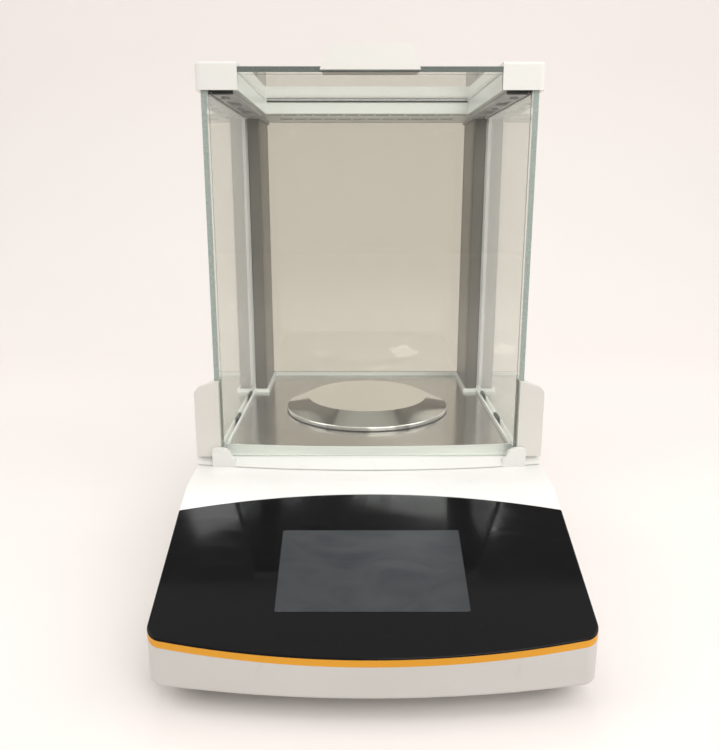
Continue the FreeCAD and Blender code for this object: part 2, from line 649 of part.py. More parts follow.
def shield_frame():
    wall0, wall1 = REAR_GLASS_Y - BORDER, REAR_GLASS_Y + GLASS + 2.4
    rear_wall = box(-GROOVE_IN, GROOVE_IN, wall0, wall1, FRAME_TOP - 1, BORDER_TOP)
    pad_x, pad_y = POST_IN - BORDER, POST_Y0 - BORDER
    pad = box(pad_x, GROOVE_IN, pad_y, REAR_GLASS_Y, FRAME_TOP - 1, BORDER_TOP)
    body = fused([skirt(), floor_outline(BORDER, FRAME_TOP - 1, BORDER_TOP), rear_wall, pad, mirrored(pad)])
    body = round_upright(body, REAR_CORNER_R, lambda p: p.y > REAR_Y - 0.01)
    foot_y = REAR_Y - FOOT_IN
    body = round_upright(body, REAR_CORNER_R - FOOT_IN, lambda p: abs(p.y - foot_y) < 0.01)
    body = body.cut(floor_outline(0.0, FLOOR_Z - FLOOR_THICK, BORDER_TOP + 1))
    body = body.cut(floor_outline(-4.0, FRAME_FLOOR, BORDER_TOP))
    groove = box(GROOVE_IN, GROOVE_OUT, FRONT_GLASS_Y, REAR_Y + 1, FRAME_FLOOR, BORDER_TOP + 1)
    body = body.cut(groove).cut(mirrored(groove))
    body = body.cut(pane_slot(FRONT_GLASS_HALF, FRONT_GLASS_Y, FRAME_FLOOR, BORDER_TOP + 1))
    body = body.cut(pane_slot(REAR_GLASS_HALF, REAR_GLASS_Y, FRAME_TOP + 1.0, BORDER_TOP + 1))
    return body.cut(rod(PAN_X, PAN_Y, 60, 90, 12.0))


def pane_slot(half_w, y, z0, z1):
    """The room that a fixed pane takes in the frame or the top."""
    return box(-half_w - GAP, half_w + GAP, y - GAP, y + GLASS + GAP, z0, z1)


def glass_clip():
    """Right-hand clip at the foot of the front glass."""
    y0, y1 = RIDGE_Y - 1.0, SHIELD_Y - 2.3
    outline = [
        (97.2, y0, DECK_Z),
        (97.2, y0, 84.4),
        ((96.7, y0, 85.6), (95.5, y0, 86.1)),
        (91.0, y0, 86.1),
        ((87.6, y0, 84.8), (85.9, y0, 82.0)),
        ((84.9, y0, 80.2), (83.0, y0, FRAME_TOP)),
        (83.0, y0, DECK_Z),
    ]
    hook = box(86.5, FRONT_GLASS_HALF, y1, FRONT_GLASS_Y, FRAME_TOP, 83.0)
    return fused([plate(outline, y1 - y0, (0, 1, 0)), hook]).cut(skirt())


def floor_plate():
    sheet = floor_outline(-0.3, FLOOR_Z - FLOOR_THICK, FLOOR_Z)
    return sheet.cut(rod(PAN_X, PAN_Y, 60, 90, 11.0))


# ---------------------------------------------------------------- draft shield, glass and posts
def front_glass():
    return box(-FRONT_GLASS_HALF, FRONT_GLASS_HALF, FRONT_GLASS_Y, FRONT_GLASS_Y + GLASS,
               FRAME_FLOOR + GAP, TOP_GLASS_Z - 0.8)


def rear_glass():
    return box(-REAR_GLASS_HALF, REAR_GLASS_HALF, REAR_GLASS_Y, REAR_GLASS_Y + GLASS,
               FRAME_TOP + 1.0 + GAP, RAIL_Z0 + 3.0)


def post():
    """Right-hand rear column: a hollow extrusion with flutes on its inner face."""
    body = box(POST_IN, POST_OUT, POST_Y0, POST_Y1, BORDER_TOP, POST_TOP)
    body = round_upright(body, 0.8)
    for y in (POST_Y0 + 4.0, POST_Y0 + 8.0, POST_Y1 - 6.0):
        body = body.cut(box(POST_IN - 1, POST_IN + 0.6, y - 0.5, y + 0.5, 0, 400))
    hollows = ((POST_Y0 + 3, POST_Y0 + 18), (POST_Y0 + 20, POST_Y0 + 38), (POST_Y0 + 40, POST_Y1 - 3))
    for y0, y1 in hollows:
        body = body.cut(box(POST_IN + 1.8, POST_OUT - 1.8, y0, y1, 0, 400))
    return body


def post_cap():
    return box(POST_IN - 1.6, POST_OUT, POST_Y0 - 1.6, POST_Y1 + 0.1, POST_TOP, RAIL_Z0)


def post_seal():
    return box(POST_OUT, DOOR_IN - 0.3, POST_Y0, POST_Y0 + 8.0, BORDER_TOP + 2.5, POST_TOP)


# ---------------------------------------------------------------- draft shield, top
def top_frame():
    rail = box(RAIL_IN, RAIL_OUT, SHIELD_Y, RAIL_REAR_Y, RAIL_Z0, RAIL_Z1)
    rail = round_upright(rail, RAIL_CORNER_R, lambda p: p.x > RAIL_OUT - 0.01 and p.y < SHIELD_Y + 0.01)
    rail = rail.makeFillet(1.4, [e for e in rail.Edges if rail_edge_shows(e)])
    roof = box(-RAIL_IN - 1, RAIL_IN + 1, ROOF_Y0, RAIL_REAR_Y, RAIL_Z0, TOP_GLASS_Z - 0.1)
    body = fused([rail, mirrored(rail), roof])
    below = RAIL_Z0 - 5.0
    slot = box(DOOR_IN - 0.4, DOOR_OUT + 0.4, FRONT_GLASS_Y, REAR_Y, below, DOOR_TOP + 0.8)
    track_z0, track_z1 = TOP_GLASS_Z - 0.1, TOP_GLASS_Z + GLASS + 0.3
    track = box(60, RAIL_IN + TOP_TRACK, SHIELD_Y + 1.0, REAR_Y, track_z0, track_z1)
    body = body.cut(slot).cut(mirrored(slot)).cut(track).cut(mirrored(track))
    body = body.cut(pane_slot(FRONT_GLASS_HALF, FRONT_GLASS_Y, below, TOP_GLASS_Z - 0.6))
    body = body.cut(pane_slot(REAR_GLASS_HALF, REAR_GLASS_Y, below, RAIL_Z0 + 3.2))
    return body.cut(vent_strip())


def rail_edge_shows(edge):
    """Edges along the outer top of a rail and round its front end."""
    ends = [v.Point for v in edge.Vertexes]
    on_top = all(p.z > RAIL_Z1 - 0.01 for p in ends)
    inner = all(p.x < RAIL_IN + 0.01 for p in ends)
    rear = all(p.y > RAIL_REAR_Y - 0.01 for p in ends)
    return on_top and not inner and not rear


VENT_Y = (SHIELD_Y + 143.7, SHIELD_Y + 176.7)
VENT_PITCH, VENT_HALF = 11.4, 4.9


def vent_strip():
    """Two rows of short bars let into the underside of the roof."""
    bars = []
    for row, y in enumerate(VENT_Y):
        count = 13 - row
        for i in range(count):
            x = (i - (count - 1) / 2) * VENT_PITCH
            bar = box(x - VENT_HALF, x + VENT_HALF, y - 1.2, y + 1.2, RAIL_Z0 - 0.5, RAIL_Z0 + 2.0)
            bars.append(bar)
    return group(bars)


def door_guide():
    """Right-hand guide strip under the top rail, with slots for the door's top edge."""
    y0, y1 = SHIELD_Y + 4.0, POST_Y0 - 4.0
    strip = box(77.0, DOOR_IN - 0.5, y0, y1, RAIL_Z0 - 2.2, RAIL_Z0)
    for y in (y0 + 34, y0 + 84):
        strip = strip.cut(box(80.0, 87.0, y, y + 22, RAIL_Z0 - 3, RAIL_Z0 - 0.8))
    return strip.cut(box(89.0, 90.2, y0 - 1, y1 + 1, RAIL_Z0 - 3, RAIL_Z0 - 0.9))


GUIDE_SCREW_X = 83.5


def guide_screws():
    screws = []
    for s in (-1, 1):
        for y in (SHIELD_Y + 16, SHIELD_Y + 76, SHIELD_Y + 134):
            x = s * GUIDE_SCREW_X
            head = rod(x, y, RAIL_Z0 - 3.4, RAIL_Z0 - 2.2, 2.4)
            slot = box(x - 3, x + 3, y - 0.4, y + 0.4, RAIL_Z0 - 4, RAIL_Z0 - 2.8)
            screws.append(head.cut(slot))
    return group(screws)


def top_glass():
    half, nose_half = RAIL_IN + TOP_TRACK - 0.3, RAIL_IN - 0.3
    y0, z1 = SHIELD_Y + 1.3, TOP_GLASS_Z + GLASS
    pane = box(-half, half, y0, SHIELD_Y + TOP_GLASS_LONG, TOP_GLASS_Z, z1)
    return fused([pane, box(-nose_half, nose_half, SHIELD_Y, y0, TOP_GLASS_Z, z1)])


def top_handle():
    y0, glass_top, tall = SHIELD_Y - 3.2, TOP_GLASS_Z + GLASS, 319.3
    outline = [
        (-28.0, y0, 306.0),
        (28.0, y0, 306.0),
        (24.0, y0, 316.0),
        ((23.0, y0, 318.4), (20.8, y0, tall)),
        (-20.8, y0, tall),
        ((-23.0, y0, 318.4), (-24.0, y0, 316.0)),
    ]
    grip = plate(outline, 5.6, (0, 1, 0))
    foot = box(-27.0, 27.0, SHIELD_Y, SHIELD_Y + 15.0, glass_top, glass_top + 1.8)
    return fused([grip, foot]).cut(box(-60, 60, SHIELD_Y, 60, TOP_GLASS_Z - 1, glass_top))


# ---------------------------------------------------------------- side doors
def door_glass():
    return box(DOOR_IN, DOOR_OUT, DOOR_FRONT_Y, DOOR_FRONT_Y + DOOR_LONG, DOOR_BOTTOM, DOOR_TOP)


def door_handle():
    """Right-hand handle: a plate across the glass edge with a grip standing outwards."""
    z0, y0, top = FRAME_TOP + 0.8, SHIELD_Y - 1.9, 127.4
    inner, outer = DOOR_IN + 0.3, HALF_W - 0.2
    outline = [
        (inner, y0, z0),
        (outer, y0, z0),
        (outer, y0, top - 8.9),
        ((outer - 1.0, y0, top - 4.9), (outer - 4.3, y0, top - 2.5)),
        (inner + 2.1, y0, top),
        (inner, y0, top),
    ]
    body = plate(outline, 15.0, (0, 1, 0))
    hold = DOOR_OUT + 2.4
    finger_room = [
        (hold + 4.0, y0 + 4.0, z0 - 1),
        (HALF_W + 9, y0 + 4.0, z0 - 1),
        (HALF_W + 9, y0 + 30.0, z0 - 1),
        (hold, y0 + 30.0, z0 - 1),
        (hold, y0 + 8.0, z0 - 1),
    ]
    body = body.cut(plate(finger_room, 80.0, (0, 0, 1)))
    return body.cut(box(80, DOOR_OUT, DOOR_FRONT_Y, 200, 0, 400))


def door_shoes():
    """Right-hand guide shoes on the bottom edge of the door."""
    shoes = []
    for y in (SHIELD_Y + 70, SHIELD_Y + 130):
        shoe = box(GROOVE_IN + 0.3, GROOVE_OUT - 0.3, y - 7, y + 7, FRAME_FLOOR + 0.2, BORDER_TOP + 1.5)
        shoes.append(shoe.cut(box(DOOR_IN, DOOR_OUT, y - 20, y + 20, DOOR_BOTTOM, 100)))
    return group(shoes)


# ---------------------------------------------------------------- weighing pan
def weighing_pan():
    """Spun dome with a flat top, a sloping shoulder and a turned-down rim."""
    skin, top_r, top_z, rim_z, lip_z = 1.2, 44.0, 91.4, 84.8, 82.2
    outline = [
        (0, 0, top_z),
        (top_r, 0, top_z),
        (PAN_R - 0.8, 0, rim_z),
        ((PAN_R - 0.2, 0, rim_z - 0.4), (PAN_R, 0, rim_z - 1.0)),
        (PAN_R, 0, lip_z),
        (PAN_R - skin, 0, lip_z),
        (PAN_R - skin, 0, rim_z - 1.2),
        (top_r - 0.3, 0, top_z - skin),
        (9.0, 0, top_z - skin),
        (9.0, 0, 80.2),
        (5.4, 0, 80.2),
        (3.9, 0, 86.2),
        (0, 0, 86.2),
    ]
    pan = Part.Face(outline_wire(outline)).revolve(Vector(0, 0, 0), Vector(0, 0, 1), 360)
    pan.translate(Vector(PAN_X, PAN_Y, 0))
    return pan


# ---------------------------------------------------------------- build
def build():
    lower, upper, stripe, glass = base_shells()
    lock_body, lock_knob = lock_switch()
    board, board_posts = main_board()
    nodes = {
        "lower_housing": lower_housing(lower),
        "upper_housing": upper_housing(upper),
        "accent_stripe": stripe,
        "display_glass": glass,
        "touch_screen": touch_screen(),
        "display_board": display_board(),
        "display_ribbon": display_ribbon(),
        "main_board": board,
        "board_standoffs": board_posts,
        "hanger_cover": hanger_cover(),
        "hanger_rivet": hanger_rivet(),
        "rating_plate": rating_plate(),
        "housing_screws": housing_screws(),
        "power_socket": power_socket(),
        "usb_socket": usb_socket(),
        "serial_socket": serial_socket(),
        "lock_switch_body": lock_body,
        "lock_switch_slide": lock_knob,
        "front_feet": front_feet(),
        "weigh_cell_frame": weigh_cell_frame(),
        "guide_arms": guide_arms(),
        "magnet_pot": magnet_pot(),
        "lever": lever(),
        "lever_coil": lever_coil(),
        "lever_pivot_pin": lever_pivot_pin(),
        "lever_link": lever_link(),
        "load_carrier": load_carrier(),
        "pan_support": pan_support(),
        "calibration_motor": calibration_motor(),
        "calibration_screw": calibration_screw(),
        "calibration_pinion": calibration_pinion(),
        "calibration_cradle": calibration_cradle(),
        "calibration_weight": calibration_weight(),
        "shield_frame": shield_frame(),
        "floor_plate": floor_plate(),
        "front_glass": front_glass(),
        "rear_glass": rear_glass(),
        "top_frame": top_frame(),
        "vent_strip": vent_strip(),
        "guide_screws": guide_screws(),
        "top_door_glass": top_glass(),
        "top_door_handle": top_handle(),
        "weighing_pan": weighing_pan(),
    }
    fixed_pairs = {
        "glass_clips": glass_clip(),
        "rear_posts": post(),
        "post_caps": post_cap(),
        "post_seals": post_seal(),
        "door_guides": door_guide(),
    }
    for name, right in fixed_pairs.items():
        nodes[name] = group([right, mirrored(right)])
    door_pieces = {
        "door_glass": door_glass(),
        "door_handle": door_handle(),
        "door_shoes": door_shoes(),
    }
    for name, right in door_pieces.items():
        nodes["right_" + name] = right
        nodes["left_" + name] = mirrored(right)
    for side, x in (("left", -FOOT_X), ("right", FOOT_X)):
        nodes[side + "_foot_wheel"] = foot_wheel(x, FOOT_REAR_Y)
        nodes[side + "_foot_spindle"] = foot_spindle(x, FOOT_REAR_Y)
        nodes[side + "_foot_pad"] = foot_pad(x, FOOT_REAR_Y)
    return nodes


def main():
    os.makedirs(OUT, exist_ok=True)
    for name, shape in build().items():
        good = shape.isValid() and shape.Solids and all(s.Volume > 0 for s in shape.Solids)
        mark = "" if good else "CHECK"
        print(f"{name:22s} solids {len(shape.Solids)} volume {shape.Volume / 1000:9.2f} cm3", mark)
        shape.exportStep(os.path.join(OUT, name + ".step"))


main()
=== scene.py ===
import json
import math

import bmesh
import bpy
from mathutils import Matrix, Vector


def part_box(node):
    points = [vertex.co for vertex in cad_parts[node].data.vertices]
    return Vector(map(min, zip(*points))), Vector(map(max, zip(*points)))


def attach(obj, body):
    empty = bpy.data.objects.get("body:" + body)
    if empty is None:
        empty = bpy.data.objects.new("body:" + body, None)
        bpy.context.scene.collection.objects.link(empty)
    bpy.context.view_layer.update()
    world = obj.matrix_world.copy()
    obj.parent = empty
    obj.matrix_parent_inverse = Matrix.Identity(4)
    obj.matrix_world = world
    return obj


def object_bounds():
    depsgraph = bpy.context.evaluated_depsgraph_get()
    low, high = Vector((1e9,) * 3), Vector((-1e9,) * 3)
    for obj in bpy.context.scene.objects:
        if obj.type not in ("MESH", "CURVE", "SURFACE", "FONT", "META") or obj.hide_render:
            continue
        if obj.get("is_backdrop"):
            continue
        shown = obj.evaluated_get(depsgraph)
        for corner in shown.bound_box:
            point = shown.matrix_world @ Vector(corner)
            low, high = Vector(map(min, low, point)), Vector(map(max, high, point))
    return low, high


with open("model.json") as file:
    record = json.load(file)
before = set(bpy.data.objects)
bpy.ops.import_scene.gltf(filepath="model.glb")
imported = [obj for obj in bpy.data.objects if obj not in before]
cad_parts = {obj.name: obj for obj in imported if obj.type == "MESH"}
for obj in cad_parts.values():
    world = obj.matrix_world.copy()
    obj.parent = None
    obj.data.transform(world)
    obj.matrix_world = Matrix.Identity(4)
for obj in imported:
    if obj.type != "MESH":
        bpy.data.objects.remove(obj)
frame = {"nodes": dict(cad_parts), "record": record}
NODES = frame["nodes"]
CAD_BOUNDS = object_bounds()
MM = 0.001


# ---------------------------------------------------------------- camera, lights, floor
CAMERA_AT = Vector((-7.3, -481.9, 240.9)) * MM
CAMERA_PITCH = math.radians(13.75)
CAMERA_YAW = math.radians(0.17)
LENS_MM = 36.13


def aim(obj, target):
    obj.rotation_euler = (Vector(target) - obj.location).to_track_quat("-Z", "Y").to_euler()


def add_camera():
    data = bpy.data.cameras.new("camera")
    data.lens = LENS_MM
    data.sensor_width = 36.0
    data.clip_start = 0.01
    camera = bpy.data.objects.new("camera", data)
    camera.location = CAMERA_AT
    camera.rotation_euler = (math.pi / 2 - CAMERA_PITCH, 0, -CAMERA_YAW)
    bpy.context.scene.collection.objects.link(camera)
    bpy.context.scene.camera = camera


def add_area(name, at, target, size, power, colour=(1, 1, 1)):
    data = bpy.data.lights.new(name, "AREA")
    data.shape = "RECTANGLE"
    data.size, data.size_y = size
    data.energy = power
    data.color = colour
    lamp = bpy.data.objects.new(name, data)
    lamp.location = at
    aim(lamp, target)
    bpy.context.scene.collection.objects.link(lamp)


def add_world(colour, strength):
    bpy.context.scene.view_settings.view_transform = "Standard"
    world = bpy.data.worlds.new("studio")
    world.use_nodes = True
    background = world.node_tree.nodes["Background"]
    background.inputs["Color"].default_value = (*colour, 1)
    background.inputs["Strength"].default_value = strength
    bpy.context.scene.world = world


def add_sweep():
    """Seamless floor that curves up into a backdrop."""
    half, front, back, high, bend = 2.4, -2.6, 1.1, 2.6, 0.5
    profile = [(front, 0.0), (back - bend, 0.0)]
    steps = 16
    for i in range(1, steps + 1):
        a = math.pi / 2 * i / steps
        profile.append((back - bend + bend * math.sin(a), bend - bend * math.cos(a)))
    profile.append((back, high))
    mesh = bpy.data.meshes.new("sweep")
    verts = [(x, y, z) for y, z in profile for x in (-half, half)]
    faces = [(2 * i, 2 * i + 1, 2 * i + 3, 2 * i + 2) for i in range(len(profile) - 1)]
    mesh.from_pydata(verts, [], faces)
    for poly in mesh.polygons:
        poly.use_smooth = True
    sweep = bpy.data.objects.new("sweep", mesh)
    bpy.context.scene.collection.objects.link(sweep)
    paper = Shader("paper", (0.90, 0.87, 0.855), 0.75)
    paper.tint((0.91, 0.88, 0.865), (0.88, 0.85, 0.835), paper.noise(3.0, 4.0))
    paper.assign(sweep)
    sweep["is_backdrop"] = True


# ---------------------------------------------------------------- material helper
class Shader:
    """A material with one Principled shader, and short calls for its procedural detail."""

    def __init__(self, name, colour, roughness, metallic=0.0, **constants):
        self.material = bpy.data.materials.new(name)
        self.material.use_nodes = True
        self.tree = self.material.node_tree
        self.main = self.tree.nodes["Principled BSDF"]
        self.main.inputs["Base Color"].default_value = (*colour, 1)
        self.main.inputs["Roughness"].default_value = roughness
        self.main.inputs["Metallic"].default_value = metallic
        for socket, value in constants.items():
            self.main.inputs[socket.replace("_", " ")].default_value = value
        self.place = self.node("ShaderNodeTexCoord").outputs["Object"]

    def node(self, kind, **settings):
        made = self.tree.nodes.new(kind)
        for key, value in settings.items():
            setattr(made, key, value)
        return made

    def link(self, source, target):
        self.tree.links.new(source, target)

    def stretched(self, scale):
        mapping = self.node("ShaderNodeMapping")
        mapping.inputs["Scale"].default_value = scale
        self.link(self.place, mapping.inputs["Vector"])
        return mapping.outputs["Vector"]

    def noise(self, scale, detail=3.0, stretch=(1, 1, 1), warp=0.0):
        tex = self.node("ShaderNodeTexNoise")
        tex.inputs["Scale"].default_value = scale
        tex.inputs["Detail"].default_value = detail
        tex.inputs["Distortion"].default_value = warp
        self.link(self.stretched(stretch), tex.inputs["Vector"])
        return tex.outputs["Fac"]

    def cells(self, scale, stretch=(1, 1, 1), feature="F1"):
        tex = self.node("ShaderNodeTexVoronoi", feature=feature)
        tex.inputs["Scale"].default_value = scale
        self.link(self.stretched(stretch), tex.inputs["Vector"])
        return tex.outputs["Distance"]

    def remap(self, value, low, high, to_low=0.0, to_high=1.0):
        node = self.node("ShaderNodeMapRange")
        node.inputs["From Min"].default_value = low
        node.inputs["From Max"].default_value = high
        node.inputs["To Min"].default_value = to_low
        node.inputs["To Max"].default_value = to_high
        self.link(value, node.inputs["Value"])
        return node.outputs["Result"]

    def math(self, operation, a, b=0.0):
        node = self.node("ShaderNodeMath", operation=operation)
        for socket, value in zip(node.inputs, (a, b)):
            if isinstance(value, (int, float)):
                socket.default_value = value
            else:
                self.link(value, socket)
        return node.outputs["Value"]

    def blend(self, a, b, factor):
        node = self.node("ShaderNodeMix", data_type="RGBA")
        for socket, value in ((node.inputs[6], a), (node.inputs[7], b)):
            if isinstance(value, tuple):
                socket.default_value = (*value, 1)
            else:
                self.link(value, socket)
        self.link(factor, node.inputs["Factor"])
        return node.outputs[2]

    def tint(self, a, b, factor):
        colour = self.blend(a, b, factor)
        self.link(colour, self.main.inputs["Base Color"])
        return colour

    def rough(self, value, low, high, to_low, to_high):
        self.link(self.remap(value, low, high, to_low, to_high), self.main.inputs["Roughness"])

    def bump(self, height, strength, depth=0.0001):
        node = self.node("ShaderNodeBump")
        node.inputs["Strength"].default_value = strength
        node.inputs["Distance"].default_value = depth
        self.link(height, node.inputs["Height"])
        self.link(node.outputs["Normal"], self.main.inputs["Normal"])

    def tangent(self, axis):
        node = self.node("ShaderNodeTangent", direction_type="RADIAL", axis=axis)
        self.link(node.outputs["Tangent"], self.main.inputs["Tangent"])

    def normal_part(self, axis):
        """How far the surface faces along an axis, 0 to 1."""
        split = self.node("ShaderNodeSeparateXYZ")
        self.link(self.node("ShaderNodeNewGeometry").outputs["True Normal"], split.inputs["Vector"])
        return self.math("ABSOLUTE", split.outputs[axis])

    def position(self, axis):
        split = self.node("ShaderNodeSeparateXYZ")
        self.link(self.place, split.inputs["Vector"])
        return split.outputs[axis]

    def assign(self, *objects):
        for obj in objects:
            obj.data.materials.clear()
            obj.data.materials.append(self.material)


# ---------------------------------------------------------------- plastics
def moulded(name, colour, shade, roughness, grain=0.15, **constants):
    """Injection-moulded plastic: spark-eroded grain, faint flow marks, and smudges from handling."""
    s = Shader(name, colour, roughness, **constants)
    flow = s.noise(9.0, 4.0, (1, 1, 2.2), 0.6)
    clean = s.blend(colour, shade, s.remap(flow, 0.35, 0.75))
    soiled, soil_amount = 0.45, 0.16
    smudge = s.math("MULTIPLY", s.remap(s.noise(55.0, 6.0, (1, 1, 1), 1.2), 0.66, 0.80), soil_amount)
    s.tint(clean, tuple(c * soiled for c in shade), smudge)
    s.rough(s.noise(34.0, 5.0), 0.3, 0.75, roughness - 0.06, roughness + 0.10)
    s.bump(s.noise(2600.0, 2.0), grain, 0.00008)
    return s


def black_glass():
    """Gloss black display cover with faint wiping marks and dust."""
    s = Shader("display_gloss", (0.004, 0.004, 0.005), 0.06, Specular_IOR_Level=0.18)
    wipes = s.noise(16.0, 6.0, (1.0, 3.2, 1.0), 1.4)
    dust = s.remap(s.cells(260.0), 0.0, 0.16, 1.0, 0.0)
    s.tint((0.0035, 0.0035, 0.0045), (0.016, 0.016, 0.017), s.math("MULTIPLY", dust, 0.35))
    s.rough(wipes, 0.35, 0.75, 0.045, 0.12)
    s.bump(s.noise(60.0, 2.0), 0.012, 0.0002)
    return s


def screen():
    """Switched-off display: dark active area under a faint touch grid, with finger smears."""
    s = Shader("screen_off", (0.042, 0.047, 0.053), 0.16, Specular_IOR_Level=0.30)
    smear = s.noise(26.0, 5.0, (1.0, 2.0, 1.0), 2.0)
    grid = 0.9 * MM
    lines = s.math("SINE", s.math("MULTIPLY", s.position(0), 2 * math.pi / grid))
    colour = s.blend((0.036, 0.041, 0.047), (0.050, 0.055, 0.062), s.remap(smear, 0.3, 0.8))
    s.tint(colour, (0.055, 0.060, 0.066), s.remap(lines, 0.6, 1.0, 0.0, 0.25))
    s.rough(smear, 0.3, 0.8, 0.13, 0.30)
    s.bump(smear, 0.01, 0.0001)
    return s


# ---------------------------------------------------------------- glass
# The axis that each pane's faces look along; its other sides are ground edges.
GLASS_FACE_AXIS = {
    "front_glass": "Y", "rear_glass": "Y", "top_door_glass": "Z",
    "left_door_glass": "X", "right_door_glass": "X",
}
# REAR_SHADE_TINT is painted shade: it darkens the rear pane to stand in for the shaded backdrop seen
# through it; the real pane is clear glass
CLEAR, REAR_SHADE_TINT = (0.93, 0.945, 0.92), (0.64, 0.62, 0.55)
DARK_EDGE = (0.10, 0.12, 0.115), (0.16, 0.19, 0.175)
PALE_EDGE = (0.28, 0.34, 0.32), (0.40, 0.47, 0.43)


def pane(name, axis, colour):
    """Float glass with grey-green ground edges, darkest on the top door; lamps reach through it."""
    s = Shader(name, colour, 0.0, IOR=1.5)
    face = s.math("GREATER_THAN", s.normal_part("XYZ".index(axis)), 0.7)
    ground = s.remap(s.noise(900.0, 2.0), 0.3, 0.7)
    edge_dark, edge_pale = DARK_EDGE if axis == "Z" else PALE_EDGE
    edge = s.blend(edge_dark, edge_pale, ground)
    s.tint(edge, colour, face)
    s.link(face, s.main.inputs["Transmission Weight"])
    haze = s.remap(s.noise(40.0, 4.0, (1, 1, 0.4), 0.8), 0.55, 0.9, 0.0, 0.035)
    rough = s.math("ADD", s.math("MULTIPLY", s.math("SUBTRACT", 1.0, face), 0.28), haze)
    s.link(rough, s.main.inputs["Roughness"])
    out = s.tree.nodes["Material Output"]
    clear = s.node("ShaderNodeBsdfTransparent")
    clear.inputs["Color"].default_value = (0.93, 0.95, 0.94, 1)
    mix = s.node("ShaderNodeMixShader")
    s.link(s.node("ShaderNodeLightPath").outputs["Is Shadow Ray"], mix.inputs["Fac"])
    s.link(s.main.outputs["BSDF"], mix.inputs[1])
    s.link(clear.outputs["BSDF"], mix.inputs[2])
    s.link(mix.outputs["Shader"], out.inputs["Surface"])
    return s


# ---------------------------------------------------------------- metals
def metal(name, colour, shade, roughness, streak, depth=0.12, **constants):
    """Worked metal with fine lines along one direction and soft tarnish."""
    s = Shader(name, colour, roughness, 1.0, **constants)
    lines = s.noise(60.0, 3.0, streak)
    s.tint(colour, shade, s.remap(s.noise(22.0, 4.0), 0.3, 0.8))
    s.rough(lines, 0.25, 0.75, roughness - 0.05, roughness + 0.07)
    s.bump(lines, depth, 0.00004)
    return s


def floor_steel():
    """Polished sheet, brushed from front to back."""
    streak = (70, 1, 1)
    s = metal("floor_steel", (0.56, 0.555, 0.53), (0.49, 0.485, 0.465), 0.17, streak, 0.05, Anisotropic=0.5)
    s.tangent("X")
    return s


def pan_steel():
    """Bright steel with fine turning rings round the pan's centre."""
    s = metal("spun_steel", (0.97, 0.96, 0.92), (0.92, 0.91, 0.88), 0.13, (1, 1, 1), 0.02)
    low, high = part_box("weighing_pan")
    dx = s.math("SUBTRACT", s.position(0), (low[0] + high[0]) / 2)
    dy = s.math("SUBTRACT", s.position(1), (low[1] + high[1]) / 2)
    squares = s.math("ADD", s.math("MULTIPLY", dx, dx), s.math("MULTIPLY", dy, dy))
    rings = s.node("ShaderNodeTexNoise", noise_dimensions="1D")
    rings.inputs["Scale"].default_value = 1500.0
    s.link(s.math("SQRT", squares), rings.inputs["W"])
    s.bump(rings.outputs["Fac"], 0.10, 0.00004)
    s.rough(rings.outputs["Fac"], 0.3, 0.7, 0.08, 0.15)
    return s


# ---------------------------------------------------------------- rubber, boards
def rubber():
    s = Shader("rubber", (0.025, 0.025, 0.026), 0.8)
    s.tint((0.022, 0.022, 0.022), (0.06, 0.058, 0.055), s.remap(s.noise(45.0, 5.0), 0.5, 0.9))
    s.rough(s.noise(80.0), 0.2, 0.8, 0.65, 0.92)
    s.bump(s.noise(700.0, 3.0), 0.3)
    return s


def circuit():
    s = Shader("circuit", (0.01, 0.09, 0.04), 0.35)
    tracks = s.remap(s.cells(160.0, feature="DISTANCE_TO_EDGE"), 0.02, 0.06)
    s.tint((0.05, 0.16, 0.07), (0.008, 0.07, 0.03), tracks)
    s.bump(tracks, 0.2, 0.00005)
    return s


def coil():
    s = Shader("copper_wire", (0.60, 0.26, 0.12), 0.3, 1.0)
    wire = 0.4 * MM
    turns = s.math("SINE", s.math("MULTIPLY", s.position(2), 2 * math.pi / wire))
    s.tint((0.62, 0.28, 0.13), (0.38, 0.15, 0.07), s.remap(turns, -1.0, 1.0))
    s.bump(turns, 0.5, 0.0001)
    return s


